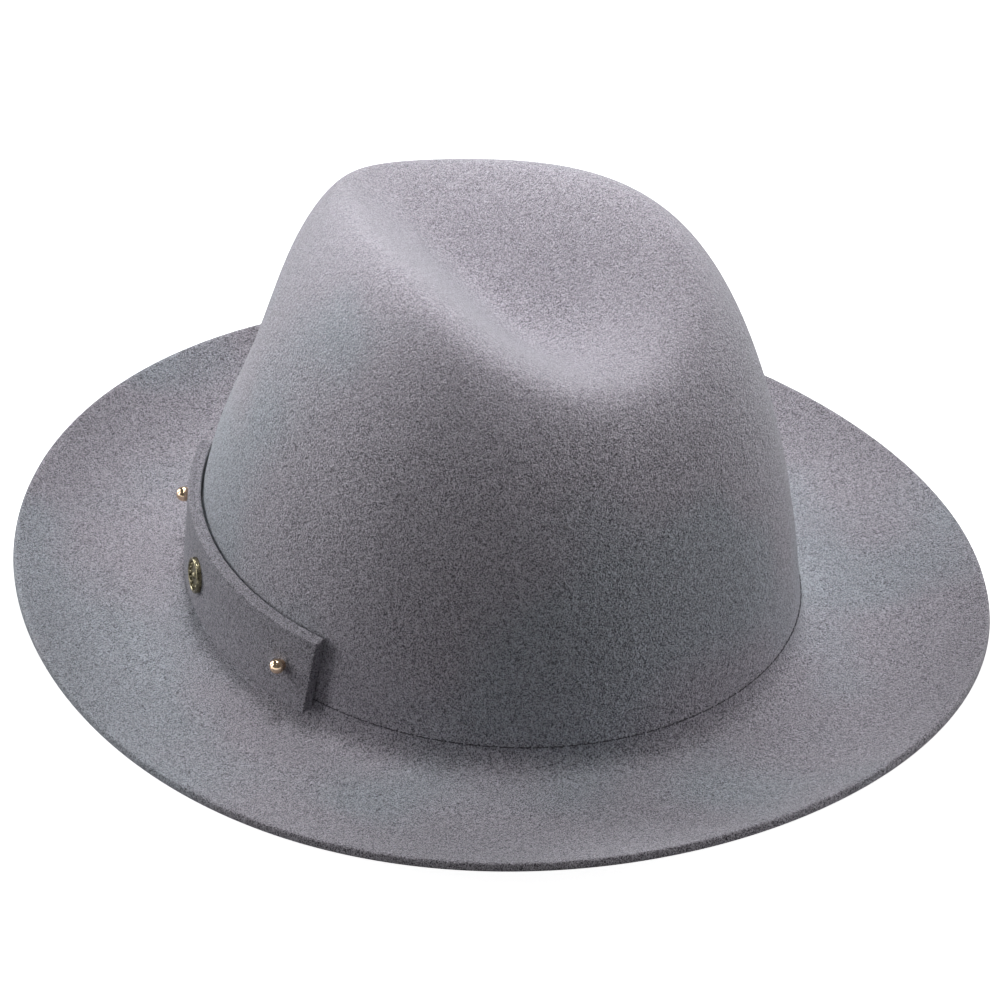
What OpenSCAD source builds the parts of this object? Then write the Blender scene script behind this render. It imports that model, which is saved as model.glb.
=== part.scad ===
// Grey wool-felt fedora with a short felt strap on the wearer's left.
// Millimetres, +Z up, front towards -Y, wearer's left towards +X.
// The origin is under the middle of the hat, in the plane that the brim rests on.
// Angles run round the hat from the wearer's left (0) over the back (90).

/* [Crown foot] */
// Length of the crown foot, front to back, over the felt
foot_len = 204; // [196:1:212]
// Width of the crown foot, side to side, over the felt
foot_wid = 180; // [172:1:188]
// Egg shape of the foot: how much wider its back half is
foot_egg = 0.04; // [0:0.01:0.08]
// Thickness of the pressed felt
felt = 2.6; // [2.0:0.1:3.2]
// Radius of the fillet between the crown and the brim
break_r = 7; // [5:0.5:9]

/* [Crown] */
// Height of the ridge round the crown dent, above the crown foot
ridge_h = 118; // [110:1:124]
// How much higher the ridge is over the ears than at the front and back
ridge_arch = 9.5; // [4:0.5:12]
// How much lower the ridge is at the back than in the middle
ridge_drop = 4; // [0:0.5:8]
// Half of the width of the ridge loop at its middle
ridge_half_wid = 41; // [36:1:44]
// How pear-shaped the ridge loop is: narrow at the front, broad at the back
ridge_pear = 0.4; // [0.2:0.05:0.5]
// Reach of the ridge loop towards the front
ridge_front = 67; // [62:1:70]
// Reach of the ridge loop towards the back
ridge_back = 66; // [60:1:72]
// Breadth of the rounded shoulder below the ridge
shoulder = 15.5; // [12:0.5:18]
// Depth of the teardrop dent below the ridge
dent_depth = 23; // [18:1:26]
// Depth of the two finger pinches beside the front of the crown
pinch_depth = 4.5; // [0:0.5:8]

/* [Brim] */
// Width of the brim beyond the crown foot
brim_wid = 59; // [50:1:65]
// Rise of the brim edge above the flat part of the brim
brim_rise = 7.5; // [5:0.5:9]
// How much less the brim edge rises at the sides than at the front and back
brim_swoop = 2.7; // [0:0.1:4]

/* [Strap] */
// Angle of the middle of the strap
strap_mid = -20.5; // [-24:0.5:-16]
// Half of the angle that the strap spans
strap_half = 35; // [32:0.5:38]
// Height of the strap
strap_h = 26; // [24:0.5:30]
// Thickness of the strap, which is two layers of felt
strap_t = 4; // [3.6:0.1:4.4]
// Angle between each strap end and its stud
stud_inset = 6.5; // [5:0.5:8]
// Diameter of the ball on each strap stud
ball_d = 4.8; // [4:0.1:5.2]
// Diameter of the round badge
badge_d = 11.5; // [10:0.5:13]

/* [Inside] */
// Height of the sweatband
band_h = 34; // [30:1:38]
// Thickness of the sweatband
band_t = 1.0; // [0.8:0.1:1.2]
// Space between the felt and the sweatband
band_gap = 2.2; // [2:0.1:2.4]
// Height of the lining tip's edge above the brim
lining_h = 86; // [80:1:88]
// Thickness of the lining
lining_t = 0.6; // [0.5:0.1:0.8]

/* [Hidden] */

TURN = 360;
BACK = 90;                          // angle of the middle of the back
FRONT = 270;                        // angle of the middle of the front
AROUND = 72;                        // facets round the hat
BRIM_ROWS = 10;                     // rows of facets over the brim
BREAK_ROWS = 4;                     // rows over the fillet
WALL_ROWS = 14;                     // rows up the crown wall
DENT_ROWS = 10;                     // rows over the dent

foot_z = felt + break_r;            // height of the crown foot
ridge_mid = (ridge_back - ridge_front) / 2;
ridge_half_len = (ridge_back + ridge_front) / 2;
brim_side_less = 1.8;               // brim width saved at the sides
brim_tilt = 1.3;                    // extra rise of the front edge over the back edge
brim_twist = 0.9;                   // threefold wave of the edge
brim_flat = 0.3;                    // part of the brim, from the crown outwards, that is flat
brim_curve = 1.8;                   // how late the brim starts to rise
ridge_twist = 2;                    // threefold wave of the ridge's height
wall_rise = 0.44;                   // height of the wall's lower handle, as a part of the wall
wall_rise_back = 0.05;              // extra height at the back
wall_lean = 0.01;                   // inward lean of that handle
wall_lean_back = 0.11;              // extra lean at the back, and forward bulge at the front
shoulder_back = 3;                  // extra breadth of the shoulder at the back
dent_mid = 18;                      // place of the deepest point, behind the middle
pinch_angle = 35;                   // angle of each pinch from the middle of the front
pinch_z = 66;                       // height of the pinches above the foot
pinch_reach = [20, 26];             // spread of a pinch, degrees and millimetres
pinch_fade = 0.25;                  // part of the wall below the ridge over which a pinch fades out

strap_z = 7;                        // height of the strap's lower edge
strap_gap_low = 1.4;                // gap behind the strap's lower edge
strap_gap_high = 0.7;               // gap behind its upper edge
strap_skew = 1.1;                   // degrees by which the upper edge outruns the lower at each end
badge_place = -0.07;                // place of the badge along the strap, from -1 to 1
strap_steps = 30;                   // facets along the strap
stitch_pitch = 5.2;                 // spacing of the stitches
stitch_len = 3.4;                   // length of thread that shows
stitch_d = 0.7;                     // thickness of the thread
stitch_gap = 0.1;                   // room between the thread and the felt
hole_clear = 0.3;                   // extra diameter of each hole round its post
hole_reach = 20;                    // length that a hole is cut inwards
hole_lead = 10;                     // length that it is cut outwards
stud_post_d = 2.4;
badge_post_d = 2.0;
washer_t = 0.5;
washer_d = 8;
screw_head_t = 0.9;
slot_w = 0.8;                       // width of a screw's slot
slot_deep = 0.4;                    // depth of it
screw_d = 1.5;                      // shank of a stud screw
badge_screw_d = 1.1;                // shank of the badge screw
bore_clear = 0.2;                   // extra diameter of a screw's bore
washer_clear = 0.4;                 // extra diameter of a washer's hole
screw_reach = 3;                    // depth of the screws in their posts
seat = 0.15;                        // room that the felt's curve takes under a flat washer
post_gap = 0.2;                     // how far a post stops short of the felt's inner face
badge_t = 1.6;                      // height of the badge's rim
band_low = 1.4;                     // height of the sweatband's lower edge
reed_d = 2.2;                       // thickness of the reed
lap = 0.1;                          // room between two sewn layers
band_out = felt + band_gap;         // sweatband's outer face, measured in from the felt's outer face
band_in = band_out + band_t;        // its inner face
tape_in = band_in + 0.6;            // inner face of the joint tape
tape_half = 3;                      // half of the angle that the tape spans
label_span = [66, 76];              // angles of the size label's two ends
label_z = [11, 23];                 // heights of its edges above the sweatband's lower edge
label_t = 0.4;
lining_low = 29;                    // lower edge of the lining
lining_gap = 3.2;                   // lining's outer face, measured in from the felt's outer face
piping_d = 1.4;                     // thickness of the piping
tip_rise = 6;                       // rise of the lining tip's middle over its edge
round_fn = 48;                      // facets of a round piece
bead_sides = 8;                     // sides of a long thin bead
small_step = 0.01;                  // step along the skin for its slope

// ---------------------------------------------------------------- shape of the felt

// Foot of the crown wall at angle t
function foot(t) = [foot_wid / 2 * cos(t) * (1 + foot_egg * sin(t)), foot_len / 2 * sin(t)];

// Level unit vector that points out of the foot oval at angle t
function outward(t) =
    let (step = foot(t + 0.5) - foot(t - 0.5), len = norm(step))
    [step.y / len, -step.x / len];

// Point at distance d outside the foot oval and height z
function beside(t, d, z) =
    let (p = foot(t) + d * outward(t))
    [p.x, p.y, z];

// Ridge round the top of the crown
function ridge(t) = [
    ridge_half_wid * cos(t) * (1 + ridge_pear * sin(t)),
    ridge_mid + ridge_half_len * sin(t),
    foot_z + ridge_h - ridge_drop * sin(t) + ridge_arch * cos(2 * t) + ridge_twist * sin(3 * t)
];

// Angle between t and a, from -180 to 180
function angle_from(t, a) = (t - a + 540) % TURN - 180;

// Part of the full pinch depth that reaches angle t and height z
function pinch_at(t, z, side) =
    let (a = angle_from(t + TURN, FRONT + side * pinch_angle) / pinch_reach[0])
    let (h = (z - foot_z - pinch_z) / pinch_reach[1])
    exp(-a * a - h * h);

// Pull of both pinches on the wall, fading out below the ridge
function pinch(t, z, s) =
    let (fade = min(1, (1 - s) / pinch_fade) * -pinch_depth)
    fade * pinch_at(t, z, -1) * outward(FRONT - pinch_angle)
    + fade * pinch_at(t, z, 1) * outward(FRONT + pinch_angle);

// Crown wall, from the foot (s = 0) to the ridge (s = 1)
function wall(t, s) =
    let (
        low = [foot(t).x, foot(t).y, foot_z],
        high = ridge(t),
        across = [high.x - low.x, high.y - low.y, 0],
        handle_low = low + (wall_lean + wall_lean_back * sin(t)) * across
            + [0, 0, (wall_rise + wall_rise_back * sin(t)) * (high.z - low.z)],
        handle_high = high - (shoulder + shoulder_back * sin(t)) * across / norm(across),
        p = pow(1 - s, 3) * low + 3 * s * pow(1 - s, 2) * handle_low
            + 3 * s * s * (1 - s) * handle_high + pow(s, 3) * high,
        pull = pinch(t, p.z, s)
    )
    [p.x + pull.x, p.y + pull.y, p.z];

// Teardrop dent, from the ridge (k = 0) to its deepest point (k = 1)
function dent(t, k) =
    let (
        rim = ridge(t),
        sink = k * k * (3 - 2 * k),
        floor_z = foot_z + ridge_h - dent_depth
    )
    [(1 - k) * rim.x, dent_mid + (1 - k) * (rim.y - dent_mid), rim.z + (floor_z - rim.z) * sink];

// Width of the brim and rise of its edge at angle t
function brim_width(t) = brim_wid - brim_side_less * cos(2 * t);
function edge_rise(t) =
    brim_rise - brim_tilt * sin(t) - brim_swoop * cos(2 * t) - brim_twist * sin(3 * t);

// Brim, from its edge (q = 1) to the start of the fillet (q = 0)
function brim(t, q) =
    let (up = pow(max(0, (q - brim_flat) / (1 - brim_flat)), brim_curve))
    beside(t, break_r + (brim_width(t) - break_r) * q, felt + edge_rise(t) * up);

// Fillet between the brim (a = 0) and the crown foot (a = 90)
function break_arc(t, a) = beside(t, break_r * (1 - sin(a)), felt + break_r * (1 - cos(a)));

// The whole upper skin: brim for u in 0..1, fillet 1..2, wall 2..3, dent 3..4
function skin(t, u) =
    u < 1 ? brim(t, 1 - u)
    : u < 2 ? break_arc(t, 90 * (u - 1))
    : u < 3 ? wall(t, u - 2)
    : dent(t, u - 3);

// Unit vector out of the upper skin
function skin_normal(t, u) =
    let (
        along = skin(t + 0.5, u) - skin(t - 0.5, u),
        up = skin(t, min(u + small_step, 4 - small_step)) - skin(t, max(u - small_step, 0)),
        n = cross(along, up)
    )
    u >= 4 - small_step ? [0, 0, 1] : n / norm(n);

// Under skin: the upper skin moved in by the felt's thickness
function under(t, u) = skin(t, u) - felt * skin_normal(t, u);

// Place on the wall at height z, found by halving the range
function wall_part(t, z, low = 0, high = 1, steps = 14) =
    let (mid = (low + high) / 2)
    steps == 0 ? mid
    : wall(t, mid).z < z ? wall_part(t, z, mid, high, steps - 1)
    : wall_part(t, z, low, mid, steps - 1);

// Point at height z and distance d outside the crown wall, straight below the foot
function by_wall(t, z, d) =
    let (p = z <= foot_z ? beside(t, 0, z) : wall(t, wall_part(t, z)))
    [p.x + d * outward(t).x, p.y + d * outward(t).y, z];

// ---------------------------------------------------------------- building helpers

// Faces between a ring of points that starts at a and the next one, that starts at b
function band_faces(a, b, count, close = true) = [
    for (i = [0 : count - (close ? 1 : 2)])
        let (j = (i + 1) % count)
        each [[a + i, b + i, b + j], [a + i, b + j, a + j]]
];

// Faces between a pole and the ring of points that starts at a
function pole_faces(pole, a, count, flip = false) = [
    for (i = [0 : count - 1])
        let (j = (i + 1) % count)
        flip ? [pole, a + i, a + j] : [pole, a + j, a + i]
];

// Closed ring or open strip swept through cross-sections that all have the same point count
module sweep(sections, ring) {
    n = len(sections[0]);
    count = len(sections);
    joints = [for (k = [0 : count - (ring ? 1 : 2)]) each band_faces(((k + 1) % count) * n, k * n, n)];
    caps = ring ? [] : [[for (i = [0 : n - 1]) n - 1 - i], [for (i = [1 : n]) (count - 1) * n + i - 1]];
    polyhedron([for (s = sections) each s], concat(joints, caps), convexity = 6);
}

// Cross-section at angle t of a sheet against the crown wall, from z_low to z_high
function sheet_section(t, z_low, z_high, out_d, in_d, levels) =
    let (heights = [for (k = [0 : levels]) z_low + (z_high - z_low) * k / levels])
    concat(
        [for (k = [0 : levels]) by_wall(t, heights[k], out_d)],
        [for (k = [0 : levels]) by_wall(t, heights[levels - k], in_d)]
    );

// Sheet that goes all the way round
module wall_ring(z_low, z_high, out_d, in_d, levels) {
    sweep([
        for (i = [0 : AROUND - 1])
            sheet_section(i * TURN / AROUND, z_low, z_high, out_d, in_d, levels)
    ], true);
}

// Sheet from angle t_low to t_high
module wall_patch(t_low, t_high, z_low, z_high, out_d, in_d, levels) {
    steps = ceil((t_high - t_low) / 2);
    sweep([
        for (i = [0 : steps])
            sheet_section(t_low + (t_high - t_low) * i / steps, z_low, z_high, out_d, in_d, levels)
    ], false);
}

// Round bead that follows the wall at height z
module wall_bead(z, mid_d, bead_d) {
    sweep([
        for (i = [0 : AROUND - 1])
            let (t = i * TURN / AROUND, out = outward(t), mid = by_wall(t, z, mid_d))
            [
                for (k = [0 : bead_sides - 1])
                    let (a = k * TURN / bead_sides)
                    mid + bead_d / 2 * [cos(a) * out.x, cos(a) * out.y, sin(a)]
            ]
    ], true);
}

// Local frame with +Z along the unit vector d
module point_along(d) {
    rotate([0, acos(d.z), atan2(d.y, d.x)]) children();
}

// ---------------------------------------------------------------- strap geometry

// Point of the strap: e is the place along it (-1..1), h its height (0..1), d from its inner face
function strap_point(e, h, d) =
    let (
        t = strap_mid + e * (strap_half + (h - 0.5) * 2 * strap_skew),
        low = by_wall(t, strap_z, strap_gap_low + d),
        high = by_wall(t, strap_z + strap_h, strap_gap_high + d)
    )
    low + h * (high - low);

// Unit vector out of the strap's outer face
function strap_normal(e) =
    let (
        along = strap_point(e + 0.02, 0.5, 0) - strap_point(e - 0.02, 0.5, 0),
        up = strap_point(e, 1, 0) - strap_point(e, 0, 0),
        n = cross(along, up)
    )
    n / norm(n);

stud_places = [-1 + stud_inset / strap_half, 1 - stud_inset / strap_half];

// Puts children on the middle line of the strap's outer face, with +Z outward
module on_strap(e) {
    translate(strap_point(e, 0.5, strap_t)) point_along(strap_normal(e)) children();
}

// Distance along the stud axis from the strap's outer face to the felt's inner face
function through(e) =
    let (
        t = strap_mid + e * strap_half,
        z = strap_z + strap_h / 2,
        outer = strap_point(e, 0.5, strap_t),
        inner = by_wall(t, z, 0) - felt * skin_normal(t, 2 + wall_part(t, z))
    )
    (outer - inner) * strap_normal(e);

// Hole along Z for a post of diameter post_d
module post_hole(post_d) {
    translate([0, 0, -hole_reach])
        cylinder(d = post_d + hole_clear, h = hole_reach + hole_lead, $fn = round_fn);
}

// Holes for the posts of both studs and of the badge
module post_holes() {
    for (e = stud_places)
        on_strap(e) post_hole(stud_post_d);
    on_strap(badge_place) post_hole(badge_post_d);
}

// ---------------------------------------------------------------- parts

// One piece of blocked felt: crown and brim
module felt_body() {
    rows = concat(
        [for (i = [0 : BRIM_ROWS - 1]) i / BRIM_ROWS],
        [for (i = [0 : BREAK_ROWS - 1]) 1 + i / BREAK_ROWS],
        [for (i = [0 : WALL_ROWS - 1]) 2 + i / WALL_ROWS],
        [for (i = [0 : DENT_ROWS - 1]) 3 + i / DENT_ROWS]
    );
    n = len(rows);
    top = [for (u = rows) for (i = [0 : AROUND - 1]) skin(i * TURN / AROUND, u)];
    bottom = [for (u = rows) for (i = [0 : AROUND - 1]) under(i * TURN / AROUND, u)];
    poles = [skin(0, 4), under(0, 4)];
    half = n * AROUND;
    top_faces = [for (r = [0 : n - 2]) each band_faces(r * AROUND, (r + 1) * AROUND, AROUND)];
    bottom_faces = [
        for (r = [0 : n - 2]) each band_faces(half + (r + 1) * AROUND, half + r * AROUND, AROUND)
    ];
    edge_faces = band_faces(half, 0, AROUND);
    top_cap = pole_faces(2 * half, half - AROUND, AROUND);
    bottom_cap = pole_faces(2 * half + 1, 2 * half - AROUND, AROUND, true);
    color([0.42, 0.41, 0.43])
        difference() {
            polyhedron(
                concat(top, bottom, poles),
                concat(top_faces, bottom_faces, edge_faces, top_cap, bottom_cap),
                convexity = 10
            );
            post_holes();
        }
}

// Stitches that hold the sweatband, showing round the crown foot
module seam_stitches() {
    count = round(PI * (foot_len + foot_wid) / 2 / stitch_pitch);
    color([0.25, 0.25, 0.28])
        for (i = [0 : count - 1]) {
            t = i * TURN / count;
            along = cross([0, 0, 1], [outward(t).x, outward(t).y, 0]);
            translate(beside(t, stitch_d / 2 + stitch_gap, foot_z))
                point_along(along)
                    cylinder(d = stitch_d, h = stitch_len, center = true, $fn = 16);
        }
}

// Short felt strap with square ends
module strap() {
    color([0.36, 0.35, 0.37])
        difference() {
            sweep([
                for (i = [0 : strap_steps])
                    let (e = -1 + 2 * i / strap_steps)
                    concat(
                        [for (h = [0, 0.5, 1]) strap_point(e, h, strap_t)],
                        [for (h = [1, 0.5, 0]) strap_point(e, h, 0)]
                    )
            ], false);
            post_holes();
        }
}

// Ball studs that hold the strap: ball, collar and a post bored for its screw
module strap_studs() {
    collar_t = 0.4;
    collar_less = 1.6;
    ball_sink = 0.36;
    color([0.85, 0.72, 0.48])
        for (e = stud_places)
            on_strap(e) {
                difference() {
                    union() {
                        translate([0, 0, post_gap - through(e)])
                            cylinder(d = stud_post_d, h = through(e) + collar_t, $fn = round_fn);
                        cylinder(d = ball_d - collar_less, h = collar_t, $fn = round_fn);
                    }
                    screw_bore(e, screw_d);
                }
                translate([0, 0, collar_t + ball_d * ball_sink])
                    sphere(d = ball_d, $fn = round_fn);
            }
}

// Bore in the end of the post at place e, for a screw of diameter shank_d
module screw_bore(e, shank_d) {
    translate([0, 0, -through(e) - 1])
        cylinder(d = shank_d + bore_clear, h = screw_reach + 1, $fn = round_fn);
}

// Slotted screw along +Z, with its head below z = 0
module slot_screw(head_d, shank_d, reach) {
    difference() {
        translate([0, 0, -screw_head_t]) cylinder(d = head_d, h = screw_head_t, $fn = round_fn);
        translate([-head_d, -slot_w / 2, -screw_head_t - 1]) cube([2 * head_d, slot_w, slot_deep + 1]);
    }
    cylinder(d = shank_d, h = reach, $fn = round_fn);
}

// Screws that hold the studs from inside the crown
module stud_screws() {
    head_d = 6;
    color([0.80, 0.70, 0.50])
        for (e = stud_places)
            on_strap(e)
                translate([0, 0, -through(e) - seat - washer_t])
                    slot_screw(head_d, screw_d, screw_reach + washer_t);
}

// Washers under the heads of the stud screws
module stud_washers() {
    color([0.75, 0.73, 0.68])
        for (e = stud_places) washer_at(e, screw_d + washer_clear);
}

// Washer against the felt's inner face, in line with place e of the strap
module washer_at(e, hole_d) {
    on_strap(e)
        translate([0, 0, -through(e) - seat - washer_t])
            difference() {
                cylinder(d = washer_d, h = washer_t, $fn = round_fn);
                translate([0, 0, -1]) cylinder(d = hole_d, h = washer_t + 2, $fn = round_fn);
            }
}

// Rim of the round badge
module badge_bezel() {
    rim = 1.1;
    rim_fn = 24;
    color([0.50, 0.43, 0.30])
        on_strap(badge_place)
            rotate_extrude($fn = round_fn)
                translate([badge_d / 2 - rim, 0]) {
                    square([rim, badge_t - rim / 2]);
                    translate([rim / 2, badge_t - rim / 2]) circle(d = rim, $fn = rim_fn);
                }
}

// Badge disc with a plain ring of beads round a boss, and the post behind it
module badge_face() {
    disc_d = badge_d - 2.4;
    disc_t = 0.8;
    beads = 14;
    bead_d = 1;
    boss_d = 2.6;
    boss_z = 0.3;
    color([0.42, 0.36, 0.26])
        on_strap(badge_place) {
            difference() {
                union() {
                    cylinder(d = disc_d, h = disc_t, $fn = round_fn);
                    translate([0, 0, post_gap - through(badge_place)])
                        cylinder(d = badge_post_d, h = through(badge_place), $fn = round_fn);
                }
                screw_bore(badge_place, badge_screw_d);
            }
            for (i = [0 : beads - 1])
                rotate(i * TURN / beads)
                    translate([disc_d / 2 - 0.8 * bead_d, 0, disc_t]) sphere(d = bead_d, $fn = 16);
            translate([0, 0, boss_z]) sphere(d = boss_d, $fn = round_fn);
        }
}

// Screw that holds the badge
module badge_screw() {
    head_d = 5;
    color([0.80, 0.70, 0.50])
        on_strap(badge_place)
            translate([0, 0, -through(badge_place) - seat - washer_t])
                slot_screw(head_d, badge_screw_d, screw_reach + washer_t);
}

// Washer under the badge screw
module badge_washer() {
    color([0.75, 0.73, 0.68]) washer_at(badge_place, badge_screw_d + washer_clear);
}

// Leather band against the wearer's head
module sweatband() {
    color([0.20, 0.16, 0.14])
        wall_ring(band_low, band_low + band_h, -band_out, -band_in, 4);
}

// Round reed that stiffens the sweatband's lower edge
module sweatband_reed() {
    color([0.16, 0.13, 0.12])
        wall_bead(band_low + reed_d / 2, -band_out + reed_d / 2 + lap, reed_d);
}

// Ribbon over the joint at the back of the sweatband
module sweatband_tape() {
    low_margin = 1.5;
    high_margin = 1;
    color([0.24, 0.22, 0.22])
        wall_patch(
            BACK - tape_half, BACK + tape_half,
            band_low + low_margin, band_low + band_h - high_margin,
            -band_in - lap, -tape_in, 3
        );
}

// Flat ribbon bow over the joint tape
module sweatband_bow() {
    bow_t = 1.2;
    bow_z = band_low + 8;
    loop_reach = 7.5;
    loop_d = 6;
    waist_d = 3;
    knot_d = 4;
    knot_more = 0.6;
    tape_room = 0.6;
    color([0.24, 0.22, 0.22])
        translate([0, foot(BACK).y - tape_in - tape_room, bow_z])
            rotate([90, 0, 0]) {
                for (side = [-1, 1])
                    hull() {
                        cylinder(d = waist_d, h = bow_t, $fn = 32);
                        translate([side * loop_reach, 0, 0]) cylinder(d = loop_d, h = bow_t, $fn = 32);
                    }
                cylinder(d = knot_d, h = bow_t + knot_more, $fn = 32);
            }
}

// Lining wall, tucked behind the sweatband
module lining_side() {
    color([0.30, 0.29, 0.31])
        wall_ring(lining_low, lining_h, -lining_gap, -lining_gap - lining_t, 6);
}

// Slightly domed lining tip under the dent
module lining_tip() {
    rings = 5;
    color([0.30, 0.29, 0.31])
        cap(rings, [for (i = [0 : AROUND - 1])
            by_wall(i * TURN / AROUND, lining_h + piping_d / 2, -lining_gap - lining_t - piping_d)]);
}

// Domed cap over a ring of points: its outer rings shrink towards the middle and rise
module cap(rings, edge) {
    n = len(edge);
    mid = [0, ridge_mid, edge[0].z];
    levels = [for (r = [0 : rings - 1]) 1 - r / rings];
    half = rings * n;
    upper = [for (f = levels) for (p = edge) mid + f * (p - mid) + [0, 0, tip_rise * (1 - f * f)]];
    lower = [for (p = upper) p - [0, 0, lining_t]];
    poles = [mid + [0, 0, tip_rise], mid + [0, 0, tip_rise - lining_t]];
    polyhedron(
        concat(upper, lower, poles),
        concat(
            [for (r = [0 : rings - 2]) each band_faces(r * n, (r + 1) * n, n)],
            [for (r = [0 : rings - 2]) each band_faces(half + (r + 1) * n, half + r * n, n)],
            band_faces(half, 0, n),
            pole_faces(2 * half, half - n, n),
            pole_faces(2 * half + 1, 2 * half - n, n, true)
        )
    );
}

// Piping in the seam between the lining's wall and its tip
module lining_piping() {
    color([0.22, 0.21, 0.23])
        wall_bead(lining_h + lap + piping_d / 2, -lining_gap - lining_t / 2, piping_d);
}

// Blank size label on the sweatband
module size_label() {
    color([0.80, 0.79, 0.76])
        wall_patch(
            label_span[0], label_span[1],
            band_low + label_z[0], band_low + label_z[1],
            -band_in - lap, -band_in - lap - label_t, 2
        );
}

felt_body();
seam_stitches();
strap();
strap_studs();
stud_screws();
stud_washers();
badge_bezel();
badge_face();
badge_screw();
badge_washer();
sweatband();
sweatband_reed();
sweatband_tape();
sweatband_bow();
lining_side();
lining_tip();
lining_piping();
size_label();
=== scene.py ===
"""Looks of a grey wool-felt fedora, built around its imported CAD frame.

Metres, +Z up, the hat's front towards -Y.
"""

import math
from itertools import product

import bmesh
import bpy
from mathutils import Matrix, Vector, noise


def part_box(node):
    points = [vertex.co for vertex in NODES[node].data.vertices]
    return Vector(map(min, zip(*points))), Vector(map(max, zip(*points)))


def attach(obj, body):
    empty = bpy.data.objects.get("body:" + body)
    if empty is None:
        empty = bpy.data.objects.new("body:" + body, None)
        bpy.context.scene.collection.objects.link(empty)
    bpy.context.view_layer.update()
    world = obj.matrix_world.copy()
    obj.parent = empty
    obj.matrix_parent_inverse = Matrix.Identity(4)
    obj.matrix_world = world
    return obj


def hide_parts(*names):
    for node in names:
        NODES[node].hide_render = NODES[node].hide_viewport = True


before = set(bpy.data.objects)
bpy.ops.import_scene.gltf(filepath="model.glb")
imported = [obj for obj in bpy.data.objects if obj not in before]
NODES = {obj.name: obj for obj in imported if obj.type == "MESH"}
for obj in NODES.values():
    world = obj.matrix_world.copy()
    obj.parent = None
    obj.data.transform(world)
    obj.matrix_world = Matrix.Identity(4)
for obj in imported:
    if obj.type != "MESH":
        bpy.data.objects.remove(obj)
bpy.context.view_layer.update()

ROOT = "root"
MM = 0.001
WELD_DISTANCE = 0.001 * MM

CAMERA_TURN = math.radians(142)      # round from the front, over the wearer's left
CAMERA_RISE = math.radians(33)
CAMERA_DISTANCE = 2.0
CAMERA_LENS = 230
CAMERA_AIM = Vector((0.0008, 0.0038, 0.0372))
SENSOR_WIDTH = 36

LINING_FOLDS = 46

WORLD_GLOW = 0.113
FLOOR_GLOW = 0.92
FLOOR_SIZE = 12
FLOOR_DROP = 0.2 * MM                # keeps the floor clear of the felt that stands on it
LEFT_POWER = 16                      # powers of the lights, in watts
NEAR_LEFT_POWER = 7.2
RIGHT_POWER = 12
NEAR_RIGHT_POWER = 7.2
BACK_POWER = 18.6
CROWN_POWER = 0.063
LOW_CROWN_POWER = 0.033
DENT_POWER = 0.0225
SIDE_LIGHT_SIZE = (0.5, 1.1)
BACK_LIGHT_SIZE = (1.0, 0.6)


# ---------------------------------------------------------------- node material helpers


class Shader:
    """A Principled material under construction, with short calls for its nodes."""

    def __init__(self, name):
        self.material = bpy.data.materials.new(name)
        self.material.use_nodes = True
        self.tree = self.material.node_tree
        self.bsdf = self.tree.nodes["Principled BSDF"]
        self.place = self.add("ShaderNodeTexCoord").outputs["Object"]

    def add(self, kind, **settings):
        node = self.tree.nodes.new(kind)
        for key, value in settings.items():
            setattr(node, key, value)
        return node

    def link(self, source, target):
        self.tree.links.new(source, target)

    def feed(self, socket, value):
        """Puts a number, a colour or another node's output on a socket."""
        if isinstance(value, bpy.types.NodeSocket):
            self.link(value, socket)
        else:
            socket.default_value = value

    def set(self, **values):
        """Sets the shader's own sockets: Base_Color=..., Roughness=..."""
        for key, value in values.items():
            self.feed(self.bsdf.inputs[key.replace("_", " ")], value)

    def noise(self, scale, detail=4, roughness=0.5, distortion=0, place=None):
        node = self.add("ShaderNodeTexNoise")
        self.link(place or self.place, node.inputs["Vector"])
        node.inputs["Scale"].default_value = scale
        node.inputs["Detail"].default_value = detail
        node.inputs["Roughness"].default_value = roughness
        node.inputs["Distortion"].default_value = distortion
        return node.outputs["Fac"]

    def voronoi(self, scale, feature="F1"):
        node = self.add("ShaderNodeTexVoronoi", feature=feature)
        self.link(self.place, node.inputs["Vector"])
        node.inputs["Scale"].default_value = scale
        return node.outputs["Distance"]

    def stretched(self, scale, rotation=(0, 0, 0)):
        """Object coordinates turned and stretched, for fibres that run one way."""
        node = self.add("ShaderNodeMapping")
        self.link(self.place, node.inputs["Vector"])
        node.inputs["Scale"].default_value = scale
        node.inputs["Rotation"].default_value = rotation
        return node.outputs["Vector"]

    def height(self):
        """Height above the frame's origin, in metres."""
        node = self.add("ShaderNodeSeparateXYZ")
        self.link(self.place, node.inputs[0])
        return node.outputs["Z"]

    def wave(self, scale, direction):
        node = self.add("ShaderNodeTexWave", wave_type="BANDS", bands_direction=direction)
        self.link(self.place, node.inputs["Vector"])
        node.inputs["Scale"].default_value = scale
        return node.outputs["Fac"]

    def math(self, operation, a, b=0.0):
        node = self.add("ShaderNodeMath", operation=operation)
        self.feed(node.inputs[0], a)
        self.feed(node.inputs[1], b)
        return node.outputs[0]

    def span(self, value, low, high, out_low, out_high):
        """Maps value from low..high to out_low..out_high, held at both ends."""
        node = self.add("ShaderNodeMapRange")
        self.feed(node.inputs["Value"], value)
        sockets = ("From Min", "From Max", "To Min", "To Max")
        for key, number in zip(sockets, (low, high, out_low, out_high)):
            node.inputs[key].default_value = number
        return node.outputs["Result"]

    def mix(self, factor, a, b):
        node = self.add("ShaderNodeMix", data_type="RGBA")
        self.feed(node.inputs[0], factor)
        self.feed(node.inputs[6], a)
        self.feed(node.inputs[7], b)
        return node.outputs[2]

    def bump(self, height, distance, strength=1.0, below=None):
        node = self.add("ShaderNodeBump")
        node.inputs["Distance"].default_value = distance
        node.inputs["Strength"].default_value = strength
        self.link(height, node.inputs["Height"])
        if below is not None:
            self.link(below, node.inputs["Normal"])
        return node.outputs["Normal"]


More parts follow.
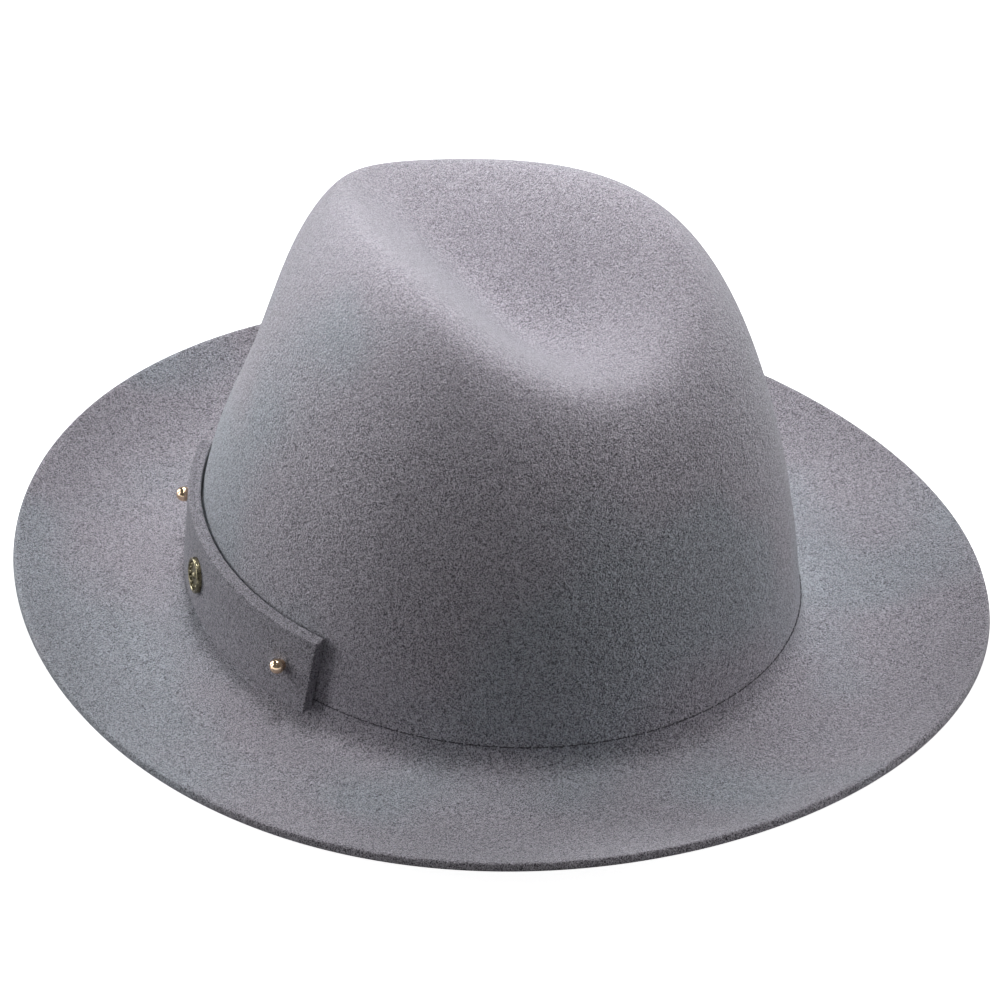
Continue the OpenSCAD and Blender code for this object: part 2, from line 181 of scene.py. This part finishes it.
def grey(value, tint=(1, 1, 1)):
    return tuple(value * t for t in tint) + (1.0,)


def turn_of(place):
    """Angle round the hat, in radians."""
    return math.atan2(place.y, place.x)


# ---------------------------------------------------------------- materials

FELT_SHADE = 0.30
CUT_SHADE = 0.055                    # cut edges show the darker heart of the felt, painted darker still as shade on the edge that faces out and down
STRAP_SHADE = 0.215
WARM_GREY = (1.0, 0.942, 1.055)      # purplish cast of the felt
COOL_GREY = (0.92, 0.985, 1.09)      # bluish cast that it takes in places
DARK_BROWN = (0.030, 0.019, 0.013)
REED_BROWN = (0.024, 0.0152, 0.0104)
CHARCOAL = (0.030, 0.029, 0.033)
THREAD_GREY = (0.085, 0.08, 0.09)
PIT_SHADE_BLACK = (0.008, 0.008, 0.009)
LINING_GREY = (0.105, 0.10, 0.115)
LABEL_WHITE = (0.62, 0.60, 0.56)
PALE_GOLD = (0.86, 0.66, 0.46)
GOLD_SHADE = (0.55, 0.36, 0.20)
OLIVE_BRONZE = (0.26, 0.235, 0.155)
BRONZE_SHADE = (0.035, 0.033, 0.024)
STEEL = (0.62, 0.60, 0.57)
STEEL_SHADE = (0.30, 0.29, 0.27)

NAP_SCALE = 2700                     # sizes of the felt's textures, in cells per metre
MATTING_SCALE = 850
CURL_SCALE = 1150
CLOUD_SCALE = 11
FELT_CONTRAST = 0.9
HAIR_BRIGHTNESS = 2.5                # of the light curly hairs, against the felt's own shade
TOP_FROM = 0.095                     # heights between which the grain, painted stronger below as shade of the fibre relief, fades to the crown's top
TOP_TO = 0.115
WALL_GRAIN_AND_SHADE = 1.15                    # strength of the grain below and above them
TOP_GRAIN = 0.68


def felt_material(name, shade, sheen=0.34, contrast=1.0, cool=1.2):
    """Pressed wool felt: matted fibres, fine curly hairs, a nap that shines at grazing angles.

    cool says how much of the bluish cast the felt takes in patches.
    """
    s = Shader(name)
    nap = s.noise(NAP_SCALE, detail=1, roughness=0.6, distortion=0.5)
    matting = s.noise(MATTING_SCALE, detail=1, roughness=0.6, distortion=1.0)
    curls = s.noise(CURL_SCALE, detail=1, roughness=0.5, distortion=3.0)
    cloud = s.noise(CLOUD_SCALE, detail=2, roughness=0.5)
    tint = s.span(cloud, 0.50, 0.64, 0, cool)
    low = shade * (1 - FELT_CONTRAST * contrast)
    high = shade * (1 + FELT_CONTRAST * contrast)
    dark = s.mix(tint, grey(low, WARM_GREY), grey(low, COOL_GREY))
    light = s.mix(tint, grey(high, WARM_GREY), grey(high, COOL_GREY))
    speck = s.math("ADD", s.math("MULTIPLY", nap, 0.8), s.math("MULTIPLY", matting, 0.2))
    # Below the crown's top the grain is painted with more contrast: painted shade of the fibre relief
    # on the walls and brim.
    depth = s.span(s.height(), TOP_FROM, TOP_TO, WALL_GRAIN_AND_SHADE, TOP_GRAIN)
    level = s.math("MULTIPLY", s.span(speck, 0.38, 0.62, -0.5, 0.5), depth)
    grain = s.mix(s.math("ADD", level, 0.5), dark, light)
    from_hair = s.math("ABSOLUTE", s.math("SUBTRACT", curls, 0.5))
    hair = s.span(from_hair, 0.0, 0.04, 0.8, 0)
    s.set(
        Base_Color=s.mix(hair, grain, grey(HAIR_BRIGHTNESS * shade, WARM_GREY)),
        Roughness=s.span(matting, 0.3, 0.7, 0.84, 0.98),
        Sheen_Weight=sheen,
        Sheen_Roughness=0.40,
        Sheen_Tint=(0.86, 0.95, 1.0, 1),
        Specular_IOR_Level=0.1,
    )
    soft = s.bump(matting, 0.0011, 0.8)
    s.set(Normal=s.bump(nap, 0.0003, 0.8, soft))
    return s.material


def leather_material(name, colour):
    """Smooth dressed leather with fine pores and creases."""
    s = Shader(name)
    pores = s.voronoi(1100)
    creases = s.voronoi(380, "DISTANCE_TO_EDGE")
    tone = s.noise(35, 4, 0.6)
    rubbed = s.noise(140, 4, 0.65)
    worn = s.span(rubbed, 0.52, 0.70, 0, 0.5)
    body = s.mix(s.span(tone, 0.3, 0.7, 0, 1), grey(0.75, colour), grey(1.3, colour))
    s.set(
        Base_Color=s.mix(worn, body, grey(1.9, colour)),
        Roughness=s.span(tone, 0.3, 0.7, 0.40, 0.60),
        Specular_IOR_Level=0.4,
    )
    folds = s.bump(s.span(creases, 0, 0.12, 0, 1), 0.00018, 0.6)
    s.set(Normal=s.bump(pores, 0.0001, 0.5, folds))
    return s.material


def satin_material(name, colour):
    """Woven satin: long floats of thread, a soft gloss and faint puckers."""
    s = Shader(name)
    floats = s.noise(1, 2, 0.5, place=s.stretched((3600, 3600, 260)))
    puckers = s.bump(s.noise(45, 2, 0.5), 0.002, 0.4)
    s.set(
        Base_Color=s.mix(s.span(floats, 0.35, 0.65, 0, 1), grey(0.75, colour), grey(1.25, colour)),
        Roughness=s.span(floats, 0.3, 0.7, 0.26, 0.42),
        Sheen_Weight=0.3,
        Sheen_Roughness=0.3,
        Normal=s.bump(floats, 0.00006, 0.6, puckers),
    )
    return s.material


def ribbon_material(name, colour, direction):
    """Grosgrain: fine ribs, one after another along the ribbon."""
    s = Shader(name)
    ribs = s.wave(360, direction)
    tone = s.noise(700, 2, 0.5)
    s.set(
        Base_Color=s.mix(ribs, grey(0.5, colour), grey(1.5, colour)),
        Roughness=s.span(tone, 0.3, 0.7, 0.5, 0.72),
        Sheen_Weight=0.25,
        Sheen_Roughness=0.4,
        Normal=s.bump(ribs, 0.00025, 0.9),
    )
    return s.material


def metal_material(name, colour, dark, roughness, wear_scale=260, tarnished=0.6):
    """Plated metal: slight colour shift, tarnish in patches, hairline scratches."""
    s = Shader(name)
    tarnish = s.noise(wear_scale, 4, 0.6)
    scratch = s.noise(1, 2, 0.6, place=s.stretched((2500, 300, 2500), (0.4, 0.2, 0.9)))
    s.set(
        Base_Color=s.mix(s.span(tarnish, 0.48, 0.66, 0, tarnished), grey(1, colour), grey(1, dark)),
        Metallic=1.0,
        Roughness=s.span(scratch, 0.35, 0.7, roughness, roughness + 0.14),
        Normal=s.bump(scratch, 0.00002, 0.3),
    )
    return s.material


def thread_material(name, colour):
    """Twisted sewing thread."""
    s = Shader(name)
    twist = s.noise(3200, 2, 0.5)
    s.set(
        Base_Color=s.mix(s.span(twist, 0.35, 0.65, 0, 1), grey(0.6, colour), grey(1.4, colour)),
        Roughness=s.span(twist, 0.3, 0.7, 0.7, 0.9),
        Normal=s.bump(twist, 0.0001, 0.6),
    )
    return s.material


def label_material(name, colour):
    """Plain woven tape."""
    s = Shader(name)
    weave = s.math("MULTIPLY", s.wave(520, "Z"), s.wave(520, "X"))
    tone = s.noise(90, 3, 0.6)
    cloth = s.mix(weave, grey(0.72, colour), grey(1.05, colour))
    s.set(
        Base_Color=s.mix(s.span(tone, 0.45, 0.7, 0, 0.3), cloth, grey(0.6, colour)),
        Roughness=s.span(weave, 0, 1, 0.7, 0.85),
        Normal=s.bump(weave, 0.00015, 0.8),
    )
    return s.material


def floor_material():
    """White studio paper that glows, so that shadows on it stay faint."""
    s = Shader("floor_white")
    tone = s.noise(3, 2, 0.5)
    s.set(
        Base_Color=s.mix(tone, (0.90, 0.90, 0.90, 1), (0.92, 0.92, 0.92, 1)),
        Roughness=s.span(tone, 0, 1, 0.75, 0.85),
        Specular_IOR_Level=0.1,
        Emission_Color=(1, 1, 1, 1),
        Emission_Strength=FLOOR_GLOW,
    )
    return s.material


# ---------------------------------------------------------------- mesh helpers


def link_object(name, mesh):
    obj = bpy.data.objects.new(name, mesh)
    bpy.context.scene.collection.objects.link(obj)
    return obj


def shade_smooth(obj):
    obj.data.polygons.foreach_set("use_smooth", [True] * len(obj.data.polygons))
    obj.data.update()


def apply_modifiers(obj):
    """Replaces obj's mesh by what its modifiers make of it."""
    depsgraph = bpy.context.evaluated_depsgraph_get()
    mesh = bpy.data.meshes.new_from_object(obj.evaluated_get(depsgraph))
    obj.modifiers.clear()
    obj.data = mesh


def finish_piece(obj, material, slot, *replaced):
    """Gives a piece its material and its body, and hides the CAD nodes that it stands for. slot is not
    used.
    """
    obj.data.materials.clear()
    obj.data.materials.append(material)
    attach(obj, ROOT)
    if replaced:
        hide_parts(*replaced)
    return obj


def quad_copy(node, name):
    """Copy of a CAD node's mesh, welded, with its triangle pairs joined to quads."""
    bm = bmesh.new()
    bm.from_mesh(NODES[node].data)
    bmesh.ops.remove_doubles(bm, verts=bm.verts, dist=WELD_DISTANCE)
    bmesh.ops.join_triangles(
        bm,
        faces=bm.faces,
        angle_face_threshold=math.radians(50),
        angle_shape_threshold=math.radians(75),
        cmp_seam=False,
        cmp_sharp=False,
        cmp_uvs=False,
        cmp_vcols=False,
        cmp_materials=False,
    )
    mesh = bpy.data.meshes.new(name)
    bm.to_mesh(mesh)
    bm.free()
    return link_object(name, mesh)


def subdivide(obj, levels):
    modifier = obj.modifiers.new("smooth", "SUBSURF")
    modifier.levels = levels
    modifier.render_levels = levels
    apply_modifiers(obj)


def crease_sharp(obj, degrees, amount):
    """Creases the edges that turn by more than degrees. Returns how many such edges each face has."""
    bm = bmesh.new()
    bm.from_mesh(obj.data)
    crease = bm.edges.layers.float.new("crease_edge")
    counts = [0] * len(bm.faces)
    for edge in bm.edges:
        if len(edge.link_faces) == 2 and edge.calc_face_angle() > math.radians(degrees):
            edge[crease] = amount
            for face in edge.link_faces:
                counts[face.index] += 1
    bm.to_mesh(obj.data)
    bm.free()
    return counts


def push_along_normals(obj, distance_at):
    """Moves each vertex along its normal by distance_at(place), in metres."""
    mesh = obj.data
    moved = [v.co + distance_at(v.co) * v.normal for v in mesh.vertices]
    for vertex, place in zip(mesh.vertices, moved):
        vertex.co = place
    mesh.update()


def mesh_object(name, points, faces):
    mesh = bpy.data.meshes.new(name)
    mesh.from_pydata(points, [], faces)
    mesh.update()
    obj = link_object(name, mesh)
    shade_smooth(obj)
    return obj


def turn_faces_outward(obj):
    bm = bmesh.new()
    bm.from_mesh(obj.data)
    bmesh.ops.recalc_face_normals(bm, faces=bm.faces)
    bm.to_mesh(obj.data)
    bm.free()


def refined_copy(node, name, levels, crease=0.0):
    """Smooth, finer copy of a CAD node, with its sharp edges softened."""
    obj = quad_copy(node, name)
    if crease:
        crease_sharp(obj, degrees=40, amount=crease)
    subdivide(obj, levels)
    shade_smooth(obj)
    return obj


def tube_faces(first, rings, sides):
    """Faces of a tube whose rings of points start at index first, closed at both ends."""
    faces = []
    for ring in range(rings - 1):
        for side in range(sides):
            a = first + ring * sides + side
            b = first + ring * sides + (side + 1) % sides
            faces.append((a, b, b + sides, a + sides))
    last = first + (rings - 1) * sides
    faces.append(tuple(first + side for side in reversed(range(sides))))
    faces.append(tuple(last + side for side in range(sides)))
    return faces


def strip_points(path, across, half_widths, thickness):
    """Points and faces of a flat ribbon round the closed path, its width along across."""
    count = len(path)
    points = []
    for i, place in enumerate(path):
        ahead = path[(i + 1) % count]
        behind = path[i - 1]
        out = (ahead - behind).cross(across).normalized() * thickness / 2
        side = across * half_widths[i]
        points += [place - side - out, place + side - out, place + side + out, place - side + out]
    faces = []
    for i in range(count):
        a, b = 4 * i, 4 * ((i + 1) % count)
        faces += [(a + k, a + (k + 1) % 4, b + (k + 1) % 4, b + k) for k in range(4)]
    return points, faces


# ---------------------------------------------------------------- pieces


def felt_body():
    """Crown and brim, with the brim's cut edge kept crisp."""
    obj = quad_copy("felt_body", "felt_body_soft")
    sharp = crease_sharp(obj, degrees=50, amount=0.75)
    obj.data.polygons.foreach_set("material_index", [int(count >= 2) for count in sharp])
    subdivide(obj, levels=2)
    shade_smooth(obj)
    finish_piece(obj, felt_material("wool_felt", FELT_SHADE), "wool_felt", "felt_body")
    # The cut edge's dark felt is partly its own colour and partly painted shade.
    obj.data.materials.append(felt_material("wool_felt_cut", CUT_SHADE, sheen=0.15, contrast=0.8))
    return obj


def strap_rails():
    """Long edges of the CAD strap, low and high: an inner and an outer point for each section."""
    low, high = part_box("strap")
    close = 0.01 * MM
    rails = []
    for z in (low.z, high.z):
        row = [v.co for v in NODES["strap"].data.vertices if abs(v.co.z - z) < close]
        row = {tuple(round(c, 6) for c in place) for place in row}
        row = sorted((Vector(place) for place in row), key=turn_of)
        pairs = [sorted(row[i:i + 2], key=lambda place: place.xy.length) for i in range(0, len(row), 2)]
        rails.append(pairs)
    return rails


def shell_faces(index, ends):
    """Quads over the six sides of a lattice whose points are numbered index[i, j, k]."""
    faces = []
    for axis in range(3):
        a, b = [n for n in range(3) if n != axis]
        for side, m, n in product((0, ends[axis]), range(ends[a]), range(ends[b])):
            corners = []
            for dm, dn in ((0, 0), (1, 0), (1, 1), (0, 1)):
                key = [0, 0, 0]
                key[axis], key[a], key[b] = side, m + dm, n + dn
                corners.append(index[tuple(key)])
            faces.append(corners)
    return faces


def strap():
    """Felt strap of two glued layers, with softened edges and a groove between the layers.

    Its surface is a lattice: along in sections of the CAD strap, up and through in parts of its
    height and thickness. Lines lie close together near the edges, which keeps them crisp.
    """
    low, high = strap_rails()
    last = len(low) - 1
    along = [0, 0.15, 0.5] + list(range(1, last)) + [last - 0.5, last - 0.15, last]
    up = [0, 0.03, 0.1, 0.2, 0.35, 0.5, 0.65, 0.8, 0.9, 0.97, 1]
    through = [0, 0.2, 0.44, 0.5, 0.56, 0.8, 1]
    groove = 0.35 * MM
    ripple = 0.09 * MM
    ripple_length = 2.2 * MM
    middle = len(through) // 2
    core_end = 0.5                   # how far the groove's floor lies in from the ends and the edges
    core_edge = 0.08

    def place(u, h, d):
        """Point at section u, height h and depth d."""
        k = min(int(u), last - 1)
        f = u - k
        edges = []
        for rail in (low, high):
            inner = rail[k][0].lerp(rail[k + 1][0], f)
            outer = rail[k][1].lerp(rail[k + 1][1], f)
            edges.append(inner.lerp(outer, d))
        return edges[0].lerp(edges[1], h)

    index = {}
    points = []
    ends = [len(along) - 1, len(up) - 1, len(through) - 1]
    for i, j, k in product(range(len(along)), range(len(up)), range(len(through))):
        if i not in (0, ends[0]) and j not in (0, ends[1]) and k not in (0, ends[2]):
            continue
        u, h, d = along[i], up[j], through[k]
        point = place(u, h, d)
        if k == middle:
            inner_u = min(max(u, core_end), last - core_end)
            inner_h = min(max(h, core_edge), 1 - core_edge)
            point += (place(inner_u, inner_h, d) - point).normalized() * groove
        index[i, j, k] = len(points)
        points.append(point)
    obj = mesh_object("strap_soft", points, shell_faces(index, ends))
    turn_faces_outward(obj)
    subdivide(obj, levels=2)
    shade_smooth(obj)
    push_along_normals(obj, lambda p: ripple * noise.noise(p / ripple_length))
    return finish_piece(obj, felt_material("strap_felt", STRAP_SHADE, cool=0.2), "strap_felt", "strap")


def stitch_seats():
    """Middle of each CAD stitch, in order round the hat."""
    least_gap = 0.9 * MM
    least_turn = 0.008
    places = sorted((v.co.copy() for v in NODES["seam_stitches"].data.vertices), key=turn_of)
    groups = [[places[0]]]
    for before, here in zip(places, places[1:]):
        if (here - before).xy.length > least_gap and turn_of(here) - turn_of(before) > least_turn:
            groups.append([])
        groups[-1].append(here)
    if (groups[0][0] - groups[-1][-1]).length < least_gap:
        groups[0] += groups.pop()
    return [sum(group, Vector()) / len(group) for group in groups]


def ring_points(centre, radius, sides, first_axis, second_axis):
    """Points of a circle in the plane of its two axes."""
    turns = [math.tau * side / sides for side in range(sides)]
    return [centre + radius * (math.cos(a) * first_axis + math.sin(a) * second_axis) for a in turns]


def seam_stitches():
    """Fine two-ply stitches that lie in the felt and dip into a needle pit at each end, each pit a
    near-black blob of painted shade.
    """
    rings, sides = 13, 5
    pit_rings, pit_sides = 5, 8
    ply_radius = 0.10 * MM
    twist_radius = 0.09 * MM
    twist = 5                        # radians that the plies turn from a stitch's middle to its end
    half_length = 0.46               # of a stitch, as a part of the distance between two
    sink = 0.28 * MM                 # how far the thread lies below the CAD thread's axis
    dip = 0.5 * MM
    dip_power = 6
    pit_radius = 0.26 * MM
    pit_depth = 0.5 * MM
    pit_sink = 0.42 * MM
    rise = Vector((0, 0, 1))
    seats = stitch_seats()
    points, faces, pit_faces = [], [], []
    for i, seat in enumerate(seats):
        gap = seats[(i + 1) % len(seats)] - seat
        ahead = (seats[(i + 1) % len(seats)] - seats[i - 1]).normalized()
        out = ahead.cross(rise)
        for ply in (0, math.pi):
            first = len(points)
            for ring in range(rings):
                x = 2 * ring / (rings - 1) - 1
                angle = twist * x + ply
                spin = twist_radius * (math.cos(angle) * out + math.sin(angle) * rise)
                depth = sink + dip * x ** dip_power
                centre = seat + half_length * gap.length * x * ahead - depth * out + spin
                points += ring_points(centre, ply_radius, sides, out, rise)
            faces += tube_faces(first, rings, sides)
        first = len(points)
        along = gap / gap.length
        across = along.cross(rise)
        for ring in range(pit_rings):
            x = 2 * ring / (pit_rings - 1) - 1
            radius = pit_radius * math.sqrt(max(0.05, 1 - x * x))
            centre = seat + gap / 2 + (pit_depth / 2 * x - pit_sink) * across
            points += ring_points(centre, radius, pit_sides, along, rise)
        pit_faces += tube_faces(first, pit_rings, pit_sides)
    obj = mesh_object("seam_stitches_sewn", points, faces + pit_faces)
    turn_faces_outward(obj)
    finish_piece(obj, thread_material("stitch_thread", THREAD_GREY), "stitch_thread", "seam_stitches")
    # The needle pits are near-black blobs that paint the shade inside the holes.
    obj.data.materials.append(thread_material("stitch_pit_shade", PIT_SHADE_BLACK))
    obj.data.polygons.foreach_set("material_index", [0] * len(faces) + [1] * len(pit_faces))
    return obj


def sweatband():
    """Leather band, a little uneven from wear."""
    wave = 0.12 * MM
    wave_length = 14 * MM
    obj = refined_copy("sweatband", "sweatband_leather", levels=2)
    push_along_normals(obj, lambda p: wave * noise.noise(p / wave_length))
    return finish_piece(obj, leather_material("band_leather", DARK_BROWN), "band_leather", "sweatband")


def sweatband_reed():
    """Reed in its leather wrapping, which is slightly lumpy."""
    lump = 0.05 * MM
    lump_length = 1.6 * MM
    obj = refined_copy("sweatband_reed", "sweatband_reed_wrapped", levels=1)
    push_along_normals(obj, lambda p: lump * noise.noise(p / lump_length))
    material = leather_material("reed_leather", REED_BROWN)
    return finish_piece(obj, material, "reed_leather", "sweatband_reed")


def sweatband_tape():
    """Ribbon over the sweatband's joint."""
    obj = refined_copy("sweatband_tape", "sweatband_tape_ribbed", levels=3, crease=0.8)
    return finish_piece(obj, ribbon_material("ribbon_tape", CHARCOAL, "Z"), "ribbon", "sweatband_tape")


def sweatband_bow():
    """Two flat loops of narrow ribbon held by a wrapped knot."""
    low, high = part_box("sweatband_bow")
    middle = (low + high) / 2
    reach = (high.x - low.x) / 2 - 0.2 * MM
    depth = (high.y - low.y) / 2
    loop_depth = 0.55 * depth
    knot_depth = 0.85 * depth
    knot_height = 1.75 * MM
    knot_half_width = 1.7 * MM
    pinched_half_width = 1.3 * MM
    flare = 1.5 * MM
    ribbon_t = 0.35 * MM
    steps = 40
    turns = [math.tau * k / steps for k in range(steps)]
    loop_widths = [pinched_half_width + flare * math.sin(a / 2) ** 2 for a in turns]
    strips = []
    for side in (-1, 1):
        path = [
            middle + Vector((side * reach * (0.5 - 0.5 * math.cos(a)), loop_depth * math.sin(a), 0))
            for a in turns
        ]
        strips.append(strip_points(path, Vector((0, 0, 1)), loop_widths, ribbon_t))
    path = [middle + Vector((0, knot_depth * math.sin(a), knot_height * math.cos(a))) for a in turns]
    strips.append(strip_points(path, Vector((1, 0, 0)), [knot_half_width] * steps, ribbon_t))
    points, faces = [], []
    for more, quads in strips:
        faces += [tuple(len(points) + v for v in quad) for quad in quads]
        points += more
    obj = mesh_object("sweatband_bow_tied", points, faces)
    turn_faces_outward(obj)
    crease_sharp(obj, degrees=60, amount=0.6)
    subdivide(obj, levels=2)
    shade_smooth(obj)
    return finish_piece(obj, ribbon_material("ribbon_bow", CHARCOAL, "X"), "ribbon", "sweatband_bow")


def lining_side():
    """Satin wall, gathered in soft upright folds between the sweatband and the tip."""
    low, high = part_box("lining_side")
    obj = refined_copy("lining_side", "lining_side_gathered", levels=2)
    fold_depth = 1.1 * MM
    tucked = 0.22                    # part of the height that the sweatband holds flat
    opening = 0.3                    # part of the height over which the folds open above it
    closing = 0.06                   # part of the height over which they close below the piping
    wander = 3.9                     # radians by which the folds stray from even steps

    def pull(place):
        height = (place.z - low.z) / (high.z - low.z)
        free = max(0.0, min(1.0, (height - tucked) / opening)) * min(1.0, (1 - height) / closing + 0.15)
        turn = turn_of(place)
        stray = wander * noise.noise(Vector((3 * math.cos(turn), 3 * math.sin(turn), 2 * height)))
        return free * fold_depth * (0.5 - 0.5 * math.cos(LINING_FOLDS * turn + stray))

    for vertex in obj.data.vertices:
        inward = -vertex.co.xy.normalized() * pull(vertex.co)
        vertex.co.x += inward.x
        vertex.co.y += inward.y
    return finish_piece(obj, satin_material("lining_satin", LINING_GREY), "lining_satin", "lining_side")


def lining_tip():
    """Domed oval tip with shallow puckers along its seam."""
    low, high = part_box("lining_tip")
    middle = (low + high) / 2
    obj = refined_copy("lining_tip", "lining_tip_domed", levels=2)

    pucker_depth = 0.5 * MM
    smooth = 0.45                    # part of the radius that has no puckers

    def pucker(place):
        x = (place.x - middle.x) / (high.x - low.x) * 2
        y = (place.y - middle.y) / (high.y - low.y) * 2
        edge = max(0.0, math.hypot(x, y) - smooth) / (1 - smooth)
        wave = 0.5 - 0.5 * math.cos(LINING_FOLDS * math.atan2(y, x))
        return -pucker_depth * wave * 4 * edge * (1 - edge)

    for vertex in obj.data.vertices:
        vertex.co.z += pucker(vertex.co)
    material = satin_material("lining_tip_satin", LINING_GREY)
    return finish_piece(obj, material, "lining_satin", "lining_tip")


def lining_piping():
    """Cord in the seam between the lining's wall and its tip."""
    obj = refined_copy("lining_piping", "lining_piping_cord", levels=1)
    return finish_piece(obj, satin_material("piping_satin", CHARCOAL), "piping", "lining_piping")


def size_label():
    """Blank woven label on the sweatband."""
    obj = refined_copy("size_label", "size_label_woven", levels=3, crease=0.7)
    return finish_piece(obj, label_material("label_cloth", LABEL_WHITE), "label_cloth", "size_label")


def metal_parts():
    """Better metal on the studs, the badge and their fixings, whose CAD shapes stay."""
    gold = metal_material("gold_plate", PALE_GOLD, GOLD_SHADE, 0.13, wear_scale=500, tarnished=0.25)
    rim = metal_material("badge_rim", OLIVE_BRONZE, BRONZE_SHADE, 0.22, wear_scale=700)
    face = metal_material("badge_face", OLIVE_BRONZE, BRONZE_SHADE, 0.34, wear_scale=900, tarnished=0.9)
    screws = metal_material("screw_metal", PALE_GOLD, GOLD_SHADE, 0.3)
    washers = metal_material("washer_metal", STEEL, STEEL_SHADE, 0.35)
    for node, material in (
        ("strap_studs", gold),
        ("badge_bezel", rim),
        ("badge_face", face),
        ("stud_screws", screws),
        ("badge_screw", screws),
        ("stud_washers", washers),
        ("badge_washer", washers),
    ):
        NODES[node].data.materials.clear()
        NODES[node].data.materials.append(material)


# ---------------------------------------------------------------- stage


def make_stage():
    """Pale floor under the hat."""
    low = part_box("felt_body")[0]
    bpy.ops.mesh.primitive_plane_add(size=FLOOR_SIZE, location=(0, 0, low.z - FLOOR_DROP))
    floor = bpy.context.object
    floor.name = "studio_floor"
    floor.data.materials.append(floor_material())
    floor.visible_diffuse = False     # white paper that throws no light back up at the walls


def area_light(name, place, aim, size, power, spread=180):
    """White rectangle of light that faces aim; spread is the angle of its cone, in degrees."""
    data = bpy.data.lights.new(name, "AREA")
    data.shape = "RECTANGLE"
    data.size, data.size_y = size
    data.energy = power
    data.spread = math.radians(spread)
    obj = bpy.data.objects.new(name, data)
    bpy.context.scene.collection.objects.link(obj)
    obj.location = place
    obj.rotation_euler = (aim - place).to_track_quat("-Z", "Y").to_euler()


def make_lights():
    """Soft lights round the sides and behind, and narrow ones from above that model the crown."""
    world = bpy.data.worlds.new("studio_world")
    world.use_nodes = True
    world.node_tree.nodes["Background"].inputs["Color"].default_value = (1, 1, 1, 1)
    world.node_tree.nodes["Background"].inputs["Strength"].default_value = WORLD_GLOW
    bpy.context.scene.world = world
    middle = Vector((0, 0, 0.06))
    dent = 2 * middle
    toward = Vector((math.sin(CAMERA_TURN), -math.cos(CAMERA_TURN), 0))
    right = Vector((math.cos(CAMERA_TURN), math.sin(CAMERA_TURN), 0))
    up = Vector((0, 0, 1))
    for name, place, size, power in (
        ("left_light", -1.5 * right - 0.9 * toward + 0.55 * up, SIDE_LIGHT_SIZE, LEFT_POWER),
        ("near_left_light", -1.5 * right + 0.2 * toward + 0.5 * up, SIDE_LIGHT_SIZE, NEAR_LEFT_POWER),
        ("right_light", 1.1 * right - 1.4 * toward + 0.4 * up, SIDE_LIGHT_SIZE, RIGHT_POWER),
        ("near_right_light", 1.5 * right + 0.2 * toward + 0.5 * up, SIDE_LIGHT_SIZE, NEAR_RIGHT_POWER),
        ("back_light", -1.3 * toward + 1.5 * up, BACK_LIGHT_SIZE, BACK_POWER),
    ):
        area_light(name, place, middle, size, power)
    for name, place, aim, side, power, spread in (
        ("crown_light", 0.95 * up - 0.1 * toward, middle, 0.16, CROWN_POWER, 26),
        ("low_crown_light", 0.6 * up - 0.05 * toward, middle, 0.12, LOW_CROWN_POWER, 32),
        ("dent_light", up + 0.35 * toward, dent, 0.12, DENT_POWER, 14),
    ):
        area_light(name, place, aim, (side, side), power, spread)


def make_camera():
    """Camera at the photo's angle."""
    back = Vector((
        math.sin(CAMERA_TURN) * math.cos(CAMERA_RISE),
        -math.cos(CAMERA_TURN) * math.cos(CAMERA_RISE),
        math.sin(CAMERA_RISE),
    ))
    data = bpy.data.cameras.new("photo_camera")
    data.lens = CAMERA_LENS
    data.sensor_width = SENSOR_WIDTH
    obj = bpy.data.objects.new("photo_camera", data)
    bpy.context.scene.collection.objects.link(obj)
    obj.location = CAMERA_AIM + CAMERA_DISTANCE * back
    obj.rotation_euler = back.to_track_quat("Z", "Y").to_euler()
    bpy.context.scene.camera = obj


make_camera()
make_stage()
make_lights()
bpy.context.scene.view_settings.view_transform = "Standard"

felt_body()
strap()
seam_stitches()
sweatband()
sweatband_reed()
sweatband_tape()
sweatband_bow()
lining_side()
lining_tip()
lining_piping()
size_label()
metal_parts()
